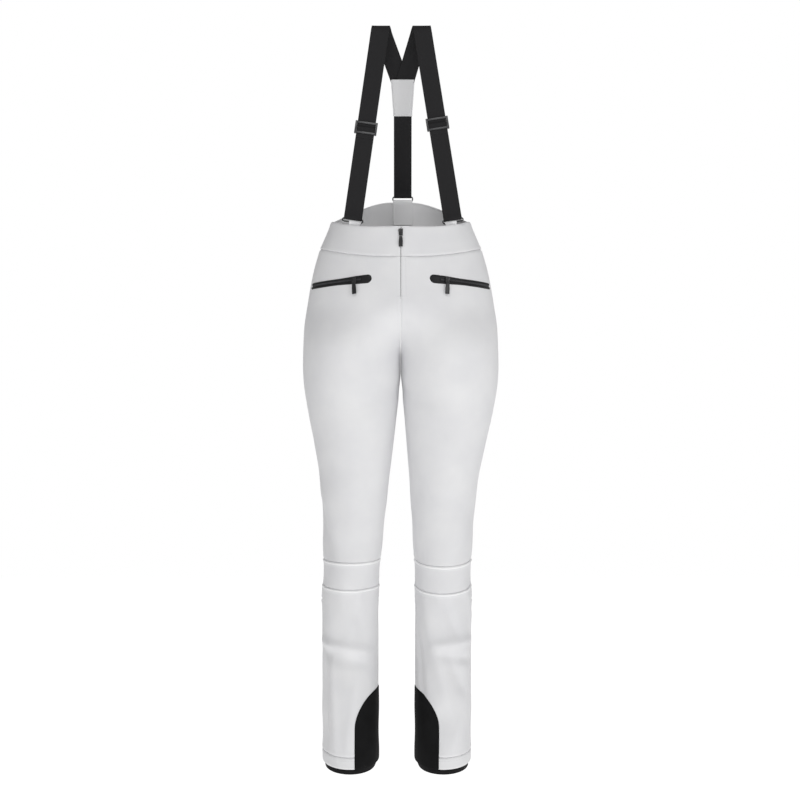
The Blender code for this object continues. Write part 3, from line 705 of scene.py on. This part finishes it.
def connectorPlace(v, u, depth):
    # a flat sleeve of cloth: the straps run into both of its ends
    v, u = np.broadcast_arrays(v, u)
    z = (suspenders["connectorTop"] * (1 - v) + suspenders["connectorBottom"] * v) * mm
    # both ends are turned in and sewn, which leaves a raised hem
    down = v * suspenders["connector"][0]
    back = suspenders["connector"][0] - down
    hemmed = 0.6 * mm * (np.exp(-((down - 1.6) / 1.3)**2) + np.exp(-((back - 1.6) / 1.3)**2))
    half = (23.3 - 5.0 * v) * mm - depth + hemmed
    deep = (3.3 - 1.0 * v) * mm - depth + hemmed
    a = u * 2 * math.pi
    x = np.sign(np.cos(a)) * np.abs(np.cos(a))**0.45 * half
    y = np.sign(np.sin(a)) * np.abs(np.sin(a))**0.8 * deep
    line = rearY(z) + 1.1 * mm * (1 - v)
    return np.stack([x + suspenders["rearX"] * mm, line + y, z + 0 * x], -1)


clothSheet("yoke_connector", connectorPlace, suspenders["connector"], "suspenders", thick=1.1,
           closed=True, spacing=1.6, grooves=(0.2, 0.2, 0, 0), pucker=0.4)
print("suspenders made")


# ---- tabs that hold the rings

tabs = {"rearWidth": 38, "frontWidth": 23, "thick": 1.3, "rearBar": (83.0, 56.0)}      # mm


def foldedTab(name, path, turns, widthMm, body, material="shell"):
    # a cloth strip along a path, folded over a ring; turns holds its width direction at each point
    both = smoothPath(np.concatenate([path, turns], axis=1), 1.5)
    line, across = both[:, :3], both[:, 3:]
    ahead = np.gradient(line, axis=0)
    ahead /= np.linalg.norm(ahead, axis=1)[:, None]
    normal = np.cross(ahead, across)
    run = np.concatenate([[0], np.cumsum(np.linalg.norm(np.diff(line, axis=0), axis=1))])

    def place(v, u, depth):
        v, u, depth = np.broadcast_arrays(v, u, depth)
        at = v * run[-1]
        spot = np.stack([np.interp(at, run, line[:, k]) for k in range(3)], -1)
        out = np.stack([np.interp(at, run, normal[:, k]) for k in range(3)], -1)
        wide = np.stack([np.interp(at, run, across[:, k]) for k in range(3)], -1)
        # the sewn end has rounded corners
        narrow = 1 - 0.10 * np.exp(-(v * run[-1] / (2.5 * mm))**2)
        return spot + wide * ((u - 0.5) * widthMm * mm * narrow)[..., None] - out * depth[..., None]
    clothSheet(name, place, (run[-1] / mm, widthMm), body, material=material, thick=tabs["thick"],
               spacing=2.5, grooves=(0.4, 0.2, 0.3, 0.3), pucker=0.3)


barY, barZ = tabs["rearBar"]
path = [(4, 87.6, 9.5), (4, 86.4, 20), (4, 83.4, 40), (4, 81.2, 51)]
path += [(4, barY - 2.1 * math.cos(a), barZ + 2.1 * math.sin(a)) for a in (0.3, 1.0, 1.57, 2.2, 2.9)]
path += [(4, 85.6, 50), (4, 87.0, 36)]
# the rear tab takes the lighter copy of the cloth: painted light on a tab that lies in shade inside the band
foldedTab("rear_tab", np.array(path) * mm, [(1, 0, 0)] * len(path), tabs["rearWidth"], "root", "facing")

for side, sign in sides.items():
    foot, head, up, across, inward = strapLines[side]
    # a little towards the front of the ring, where the waistband's edge passes inside it
    bar = foot - up * 8.4 * mm - across * sign * 5 * mm
    t = math.asin(min(bar.x * sign / (0.1365 - 0.006), 1)) / (math.pi / 2)
    low = garment(side, "front", -42 * mm, t, 5.6 * mm)
    mid = garment(side, "front", -14 * mm, t, 5.6 * mm)
    ahead, behind = (garment(side, "front", -14 * mm, t + step, 5.6 * mm) for step in (0.04, -0.04))
    wide = Vector(ahead - behind).normalized() * sign
    level = Vector((wide.x, wide.y, 0)).normalized()
    path = [Vector(low), Vector(mid), bar - up * 3.5 * mm - inward * 1.2 * mm]
    path += wrapRound(bar, inward, up, 2.0 * mm, (200, 150, 90, 30, -20))
    path += [bar - up * 8 * mm + inward * 2.6 * mm, bar - up * 20 * mm + inward * 3.0 * mm]
    turns = [level, level, across.lerp(level, 0.5)] + [across] * 5 + [across.lerp(level, 0.3), level]
    foldedTab("front_tab_" + side, np.array([p[:] for p in path]), [turn[:] for turn in turns],
              tabs["frontWidth"], "root")
print("tabs made")


# ---- hard parts, modelled at the origin with x to the right, y into the cloth and z up

def deselectAll():
    for item in bpy.context.selected_objects:
        item.select_set(False)


def startCube(size, centre=(0, 0, 0)):
    # sizes in mm
    deselectAll()
    bpy.ops.mesh.primitive_cube_add(size=mm, location=[c * mm for c in centre])
    item = bpy.context.object
    item.scale = size
    bpy.ops.object.transform_apply(location=True, rotation=True, scale=True)
    return item


def roundEdges(item, width, segments=2):
    bevel = item.modifiers.new("rounded", "BEVEL")
    bevel.width = width * mm
    bevel.segments = segments
    bevel.limit_method = "ANGLE"
    bevel.angle_limit = math.radians(35)
    bpy.context.view_layer.objects.active = item
    bpy.ops.object.modifier_apply(modifier="rounded")


def combine(item, other, operation="UNION"):
    boolean = item.modifiers.new("combined", "BOOLEAN")
    boolean.operation = operation
    boolean.object = other
    bpy.context.view_layer.objects.active = item
    bpy.ops.object.modifier_apply(modifier="combined")
    bpy.data.objects.remove(other)


def placeFrame(right, up, origin):
    # a matrix from the modelling axes to the garment
    up = Vector(up).normalized()
    right = Vector(right)
    right = (right - up * right.dot(up)).normalized()
    turn = Matrix((right, up.cross(right), up)).transposed().to_4x4()
    turn.translation = origin
    return turn


def finishHard(item, name, matrix, material, body):
    item.name = item.data.name = name
    item.data.transform(matrix)
    item.data.materials.clear()
    item.data.materials.append(materials[material])
    item.data.shade_smooth()
    item.data.set_sharp_from_angle(angle=math.radians(38))
    settle(item, body, name)


def copyMany(name, template, matrices, material, body, node=None):
    # one small shape, modelled once, set down many times in one mesh
    shape = bmesh.new()
    for matrix in matrices:
        before = len(shape.verts)
        shape.from_mesh(template.data)
        shape.verts.ensure_lookup_table()
        bmesh.ops.transform(shape, matrix=matrix, verts=shape.verts[before:])
    mesh = bpy.data.meshes.new(name)
    shape.to_mesh(mesh)
    shape.free()
    mesh.materials.clear()
    mesh.materials.append(materials[material])
    mesh.shade_smooth()
    mesh.set_sharp_from_angle(angle=math.radians(40))
    piece = bpy.data.objects.new(name, mesh)
    bpy.context.scene.collection.objects.link(piece)
    settle(piece, body, node)


# ---- zips

# in mm, but In and Out are shares of the way from the centre seam to the side seam
zips = {
    "pocketIn": 0.205, "weltIn": 0.206, "pocketOut": 0.86, "pocketZ": -108.6, "pocketDrop": 11,
    "toothIn": 0.235, "toothOut": 0.842, "toothPitch": 1.45, "garageHalf": 8.4, "weltHalf": 6.3,
    "welt": (13.5, 172), "bag": (125, 150), "bagSpan": (0.24, 0.82), "placket": (138, 36),
    # the pocket zip's centre of turning, its axis, and where its slider starts
    "centre": (49.59, 43.36, -109.03), "normal": (0.08638, 0.00712, 0.99624),
    "seat": (88.07, -93.04, -111.39),
    "flyTop": (0, -94.9, -13), "flyEnd": (0, -109.4, -143), "flySeat": (0, -93.65, -21),
}


def makeSlider(width, height, thick):
    # a zip slider: a shield wider at its top and a flat bridge over it
    item = startCube((width, thick, height))
    for vertex in item.data.vertices:
        if vertex.co.z < 0:
            vertex.co.x *= 0.86
    roundEdges(item, 0.7, 3)
    bridge = startCube((width * 0.34, 1.5, height * 0.74), (0, -thick / 2 - 0.6, height * 0.02))
    for vertex in bridge.data.vertices:
        if vertex.co.y < -(thick / 2 + 0.6) * mm:
            vertex.co.z *= 0.72
    roundEdges(bridge, 0.35, 2)
    combine(item, bridge)
    return item


def makePull(width, length, thick):
    # a moulded pull: narrow at its eye, wide and dished at its grip
    item = startCube((width, thick, length), (0, 0, -length / 2))
    deselectAll()
    item.select_set(True)
    bpy.context.view_layer.objects.active = item
    bpy.ops.object.mode_set(mode="EDIT")
    bpy.ops.mesh.select_all(action="SELECT")
    bpy.ops.mesh.subdivide(number_cuts=3)
    bpy.ops.object.mode_set(mode="OBJECT")
    for vertex in item.data.vertices:
        along = -vertex.co.z / (length * mm)
        vertex.co.x *= 0.74 + 0.26 * float(ease(along, 0.05, 0.4))
        vertex.co.y *= 0.8 + 0.35 * along
        if abs(vertex.co.x) < width * 0.3 * mm and 0.35 < along < 0.9:
            vertex.co.y *= 0.6
    roundEdges(item, 0.45, 2)
    return item


toothTemplate = startCube((1.0, 1.1, 4.4))
for vertex in toothTemplate.data.vertices:
    vertex.co.x += vertex.co.z * 0.12
roundEdges(toothTemplate, 0.3, 1)


def pocketZ(t):
    turn = (t - zips["pocketIn"]) / (1 - zips["pocketIn"]) * math.pi / 2
    return zips["pocketZ"] - zips["pocketDrop"] * np.sin(turn)


for side, sign in sides.items():
    low, high = zips["weltIn"], zips["pocketOut"]

    def weltPlace(v, u, depth):
        v, u, depth = np.broadcast_arrays(v, u, depth)
        t = low + (high - low) * u
        far = (t - low) * 262
        tip = np.sqrt(np.clip(1 - (1 - np.clip(far / 8.5, 0, 1))**2, 0.02, 1))
        tail = np.sqrt(np.clip(1 - (1 - np.clip((high - t) * 262 / 2.5, 0, 1))**2, 0.25, 1))
        half = zips["weltHalf"] + (zips["garageHalf"] - zips["weltHalf"]) * (1 - ease(far, 12, 75))
        w = (1 - 2 * v)
        z = (pocketZ(t) + w * half * tip * tail) * mm
        # garage: one flat dome; the rest: two lips with the coil between them
        lips = ease(far, 19, 23)
        body = 1.5 * (1 - w**6) * np.minimum(tip, tail)
        slit = 1.5 * np.exp(-(np.abs(w) / 0.33)**4) * lips
        step = 0.3 * np.exp(-((far - 21) / 1.0)**2)
        return garment(side, "front", z, t, (-0.25 - body + slit + step) * mm + depth)
    clothSheet("pocket_welt_" + side, weltPlace, zips["welt"], "root", "guard_fabric", "welt",
               thick=0.7, spacing=1.0, grooves=(0.15, 0.15, 0.15, 0.15), pucker=0.0)

    legSheet("pocket_bag_" + side, side, "front", lambda t: -122 + 0 * t,
             lambda t: -225 - 35 * np.sin(math.pi * t), zips["bag"], "root", inset=6.2,
             span=zips["bagSpan"], thick=0.8, slot="lining", material="lining", spacing=6, pucker=0.2,
             grooves=(0.3, 0.3, 0.3, 0.3))

    spots = []
    for t in np.arange(zips["toothIn"], zips["toothOut"], zips["toothPitch"] / 235):
        here = Vector(garment(side, "front", pocketZ(t) * mm, t, -0.15 * mm))
        there = Vector(garment(side, "front", pocketZ(t + 0.004) * mm, t + 0.004, -0.15 * mm))
        spots.append(placeFrame((there - here) * sign, (0, 0, 1), here))
    copyMany("pocket_teeth_" + side, toothTemplate, spots, "coil", "root",
             "pocket_chain_" + side)

    centre, normal, seat = (Vector(zips[key]) * (mm if key != "normal" else 1)
                            for key in ("centre", "normal", "seat"))
    if side == "right":
        centre.x, normal.x, seat.x = -centre.x, -normal.x, -seat.x
    out = (seat - centre).normalized()
    right = normal.cross(out)
    right = right if right.x > 0 else -right
    slider = makeSlider(9.2, 9.8, 2.6)
    # the slider lies along the zip: its top points to the closed end
    lay = placeFrame(right, normal, seat + out * 2.3 * mm)
    finishHard(slider, "pocket_slider_" + side, lay, "enamel", side + "_pocket_slider")
    pull = makePull(8.2, 22, 1.5)
    hang = (normal - out * 0.14).normalized()
    eyelet = seat + out * 4.3 * mm - normal * 4.6 * mm
    finishHard(pull, "pocket_pull_" + side, placeFrame(right, hang, eyelet), "plastic",
               side + "_pocket_pull")

bpy.data.objects.remove(toothTemplate)
flyTop, flyEnd, flySeat = (Vector(zips[key]) * mm for key in ("flyTop", "flyEnd", "flySeat"))
flyDown = (flyEnd - flyTop).normalized()
flyOut = Vector((0, flyDown.z, -flyDown.y))
flyOut = flyOut if flyOut.y < 0 else -flyOut
slider = makeSlider(8.6, 13, 2.4)
# a thin neck goes between the two panels to the teeth behind them
neck = startCube((0.6, 4.2, 7), (0, 2.2, 0))
combine(slider, neck)
finishHard(slider, "fly_slider", placeFrame((1, 0, 0), -flyDown, flySeat + flyOut * 1.9 * mm), "enamel",
           "fly_slider")
pull = makePull(7.6, 19.8, 1.6)
eyelet = flySeat + flyDown * 7.9 * mm + flyOut * 3.9 * mm
finishHard(pull, "fly_pull", placeFrame((1, 0, 0), -flyDown + flyOut * 0.04, eyelet), "plastic",
           "fly_pull")


def placketPlace(v, u, depth):
    # a strip behind the fly zip, bowed away from it at its edges
    v, u, depth = np.broadcast_arrays(v, u, depth)
    along = (-8 - zips["placket"][0] * v) * mm
    x = (u - 0.5) * zips["placket"][1] * mm
    line = np.interp(-along, [0.0, 0.143], [0.0928, 0.1094])
    bow = np.maximum(np.abs(x) - 0.006, 0)**2 * 3
    return np.stack([x, -(line - 0.0088 - bow - depth), along + 0 * x], -1)


clothSheet("fly_placket", placketPlace, zips["placket"], "root", thick=1.1, pucker=0.2,
           grooves=(0.3, 0.3, 0.3, 0.3))

# these CAD pieces stay and only get their materials
for node, material in (("fly_chain", "coil"), ("fly_stop", "stop"), ("waist_hook", "steel"),
                       ("waist_hook_bar", "steel"), ("front_ring_left", "enamel"),
                       ("front_ring_right", "enamel"), ("rear_ring", "enamel")):
    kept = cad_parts[node]
    kept.data.materials.clear()
    kept.data.materials.append(materials[material])
    kept.data.shade_smooth()
    kept.data.set_sharp_from_angle(angle=math.radians(50))
print("zips made")


# ---- strap adjusters

adjuster = {"width": 43, "height": 25, "barHeight": 4.0, "barThick": 2.0, "rail": 3.9, "depth": 6.8,
            "rodRadius": 1.0, "rodDepth": 2.2, "tailThick": 0.5}        # mm

for side, sign in sides.items():
    foot, head, up, across, inward = strapLines[side]
    share = (suspenders["adjusterZ"][side] * mm - foot.z) / (head.z - foot.z)
    centre = foot.lerp(head, share) - inward * suspenders["bow"] * mm
    railX = adjuster["width"] / 2 - adjuster["rail"] / 2
    rail = (adjuster["rail"], adjuster["depth"], adjuster["height"])
    item = startCube(rail, (-railX, 0, 0))
    other = startCube(rail, (railX, 0, 0))
    roundEdges(item, 0.9, 3)
    roundEdges(other, 0.9, 3)
    combine(item, other)
    barZ = adjuster["height"] / 2 - adjuster["barHeight"] / 2 - 0.6
    frontY = -adjuster["depth"] / 2 + adjuster["barThick"] / 2 + 0.1
    for z in (-barZ, barZ):
        bar = startCube((adjuster["width"] - 3, adjuster["barThick"], adjuster["barHeight"]), (0, frontY, z))
        roundEdges(bar, 0.6, 3)
        combine(item, bar)
    deselectAll()
    bpy.ops.mesh.primitive_cylinder_add(
        vertices=16, radius=adjuster["rodRadius"] * mm, depth=(adjuster["width"] - 4) * mm,
        location=(0, adjuster["rodDepth"] * mm, 0), rotation=(0, math.pi / 2, 0))
    rod = bpy.context.object
    bpy.ops.object.transform_apply(location=True, rotation=True, scale=True)
    combine(item, rod)
    # the adjusters take the lighter acetal: a painted highlight on their bars
    finishHard(item, "adjuster_" + side, placeFrame(across, up, centre), "adjuster", side + "_adjuster")
    # the webbing's free end comes through the adjuster and is sewn down below it
    tail = [centre + up * z * mm - inward * y * mm
            for z, y in ((4, 0.9), (0, 1.05), (-8, 1.05), (-21, 1.05))]
    end = webBand("strap_end_" + side, tail, [across] * 4, suspenders["width"] - 0.6, adjuster["tailThick"])
    settle(end, side + "_adjuster")
print("adjusters made")


# ---- stitching

stitching = {"length": 2.6, "width": 0.55, "height": 0.3, "hemCount": 50, "flyCount": 20,
             "tackCount": 8, "connectorCount": 17}


def stitchRow(name, place, count, body):
    # place(u) gives a point and an outward direction, u from 0 to 1 along the row
    template = startCube((stitching["width"], stitching["height"], stitching["length"]))
    roundEdges(template, 0.12, 1)
    spots = []
    for k in range(count):
        here, out = place((k + 0.5) / count)
        there = place((k + 0.55) / count)[0]
        run = (Vector(there) - Vector(here)).normalized()
        spots.append(placeFrame(Vector(out).cross(run), run, Vector(here)))
    copyMany(name, template, spots, "thread", body)
    bpy.data.objects.remove(template)


def onCloth(side, face, z, t, lift):
    # a point lift mm above the cloth, and the direction away from it
    spot = garment(side, face, z, t, -lift * mm)
    return spot, spot - garment(side, face, z, t, 2 * mm)


for side in sides:
    for face in ("front", "back"):
        stitchRow("hem_stitch_" + face + "_" + side,
                  lambda u: onCloth(side, face, (hemSeam(u) - 6.5) * mm, u, 0.05),
                  stitching["hemCount"], side + "_shin")

stitchRow("fly_stitch", lambda u: onCloth("left", "front", (-70 - 74 * u) * mm, 0.036, 0.1),
          stitching["flyCount"], "root")


def barTack(u):
    # a dense bar across the foot of the fly
    which = "left" if u > 0.5 else "right"
    spot = garment(which, "front", -142.5 * mm, 0.001 + 0.046 * abs(u - 0.5), -0.25 * mm)
    return spot, np.array([0, -1.0, 0.1])


stitchRow("fly_bar_tack", barTack, stitching["tackCount"], "root")

for side, sign in sides.items():
    def connectorRow(u):
        z = (suspenders["connectorTop"] - 5 - 62 * u) * mm
        x = (suspenders["rearX"] + sign * (20.3 - 4.0 * u)) * mm
        line = rearLine(x, z)
        line.y -= (1.6 + 0.2 * u) * mm
        return line, Vector((0, -1, 0))
    stitchRow("connector_stitch_" + side, connectorRow, stitching["connectorCount"], "suspenders")
print("stitching made")


# ---- camera, light and backdrop

# metres, watts, and brightness of the room where 1 is white
studio = {
    "camera": (-0.0014, -3.6, -0.338), "lens": 83.5, "sensor": 36,
    "floor": -1.26, "floorSize": 12, "floorGlow": 0.72, "white": "#ffffff",
    "keyPlace": (2.3, -2.9, 0.9), "keySize": (0.8, 1.3), "keyWatts": 19,
    "topPlace": (-0.3, -2.6, 1.9), "topSize": (1.4, 1.0), "topWatts": 21,
    "wallLevel": 1.0, "sideLevel": 0.33, "frontLevel": 0.25, "farDrop": 0.18,
}

eye = bpy.data.cameras.new("camera")
eye.lens = studio["lens"]
eye.sensor_width = studio["sensor"]
cameraObject = bpy.data.objects.new("camera", eye)
cameraObject.location = studio["camera"]
cameraObject.rotation_euler = (math.radians(90), 0, 0)
bpy.context.scene.collection.objects.link(cameraObject)
bpy.context.scene.camera = cameraObject

paper = startMaterial("white studio paper", {
    "Base Color": toLinear("#fbfbfb"), "Roughness": 0.9, "Specular IOR Level": 0.1,
    "Emission Color": toLinear("#ffffff"), "Emission Strength": studio["floorGlow"]})[0]
bpy.ops.mesh.primitive_plane_add(size=studio["floorSize"], location=(0, 0, studio["floor"]))
floor = bpy.context.object
floor.name = "floor"
floor.data.materials.append(paper)


def softLight(name, place, aim, size, watts):
    lamp = bpy.data.lights.new(name, "AREA")
    lamp.shape = "RECTANGLE"
    lamp.size, lamp.size_y = size
    lamp.energy = watts
    holder = bpy.data.objects.new(name, lamp)
    holder.location = place
    holder.rotation_euler = (Vector(aim) - Vector(place)).to_track_quat("-Z", "Y").to_euler()
    bpy.context.scene.collection.objects.link(holder)


softLight("key light", studio["keyPlace"], (0, 0, -0.45), studio["keySize"], studio["keyWatts"])
softLight("top light", studio["topPlace"], (0, 0, -0.1), studio["topSize"], studio["topWatts"])
world = bpy.data.worlds.new("white room")
bpy.context.scene.world = world
world.use_nodes = True
room = world.node_tree
# the wall behind the garment is lit white, the rest of the room is dimmer
direction = addNode(room, "ShaderNodeTexCoord").outputs["Generated"]


def levelToward(way, low, high, start, end):
    # brightness that goes from start to end as the view turns towards way
    facing = addNode(room, "ShaderNodeVectorMath", {1: way}, {0: direction}, operation="DOT_PRODUCT")
    level = addNode(room, "ShaderNodeMapRange", {
        "From Min": low, "From Max": high, "To Min": start, "To Max": end},
        {"Value": facing.outputs["Value"]}, interpolation_type="SMOOTHSTEP")
    return level.outputs["Result"]


wall = levelToward((0, 1, 0), 0.82, 0.94, studio["sideLevel"], studio["wallLevel"])
front = levelToward((0, -1, 0), 0.74, 0.93, 0, studio["frontLevel"])
# the far side from the key light is the dimmest
far = levelToward((-1, 0, 0), 0.35, 0.8, 0, studio["farDrop"])
both = addNode(room, "ShaderNodeMath", links={0: wall, 1: front}, operation="ADD")
strength = addNode(room, "ShaderNodeMath", links={0: both.outputs[0], 1: far}, operation="SUBTRACT")
room.nodes["Background"].inputs["Color"].default_value = toLinear(studio["white"])
room.links.new(strength.outputs[0], room.nodes["Background"].inputs["Strength"])
bpy.context.scene.view_settings.view_transform = "Standard"
print("studio made")
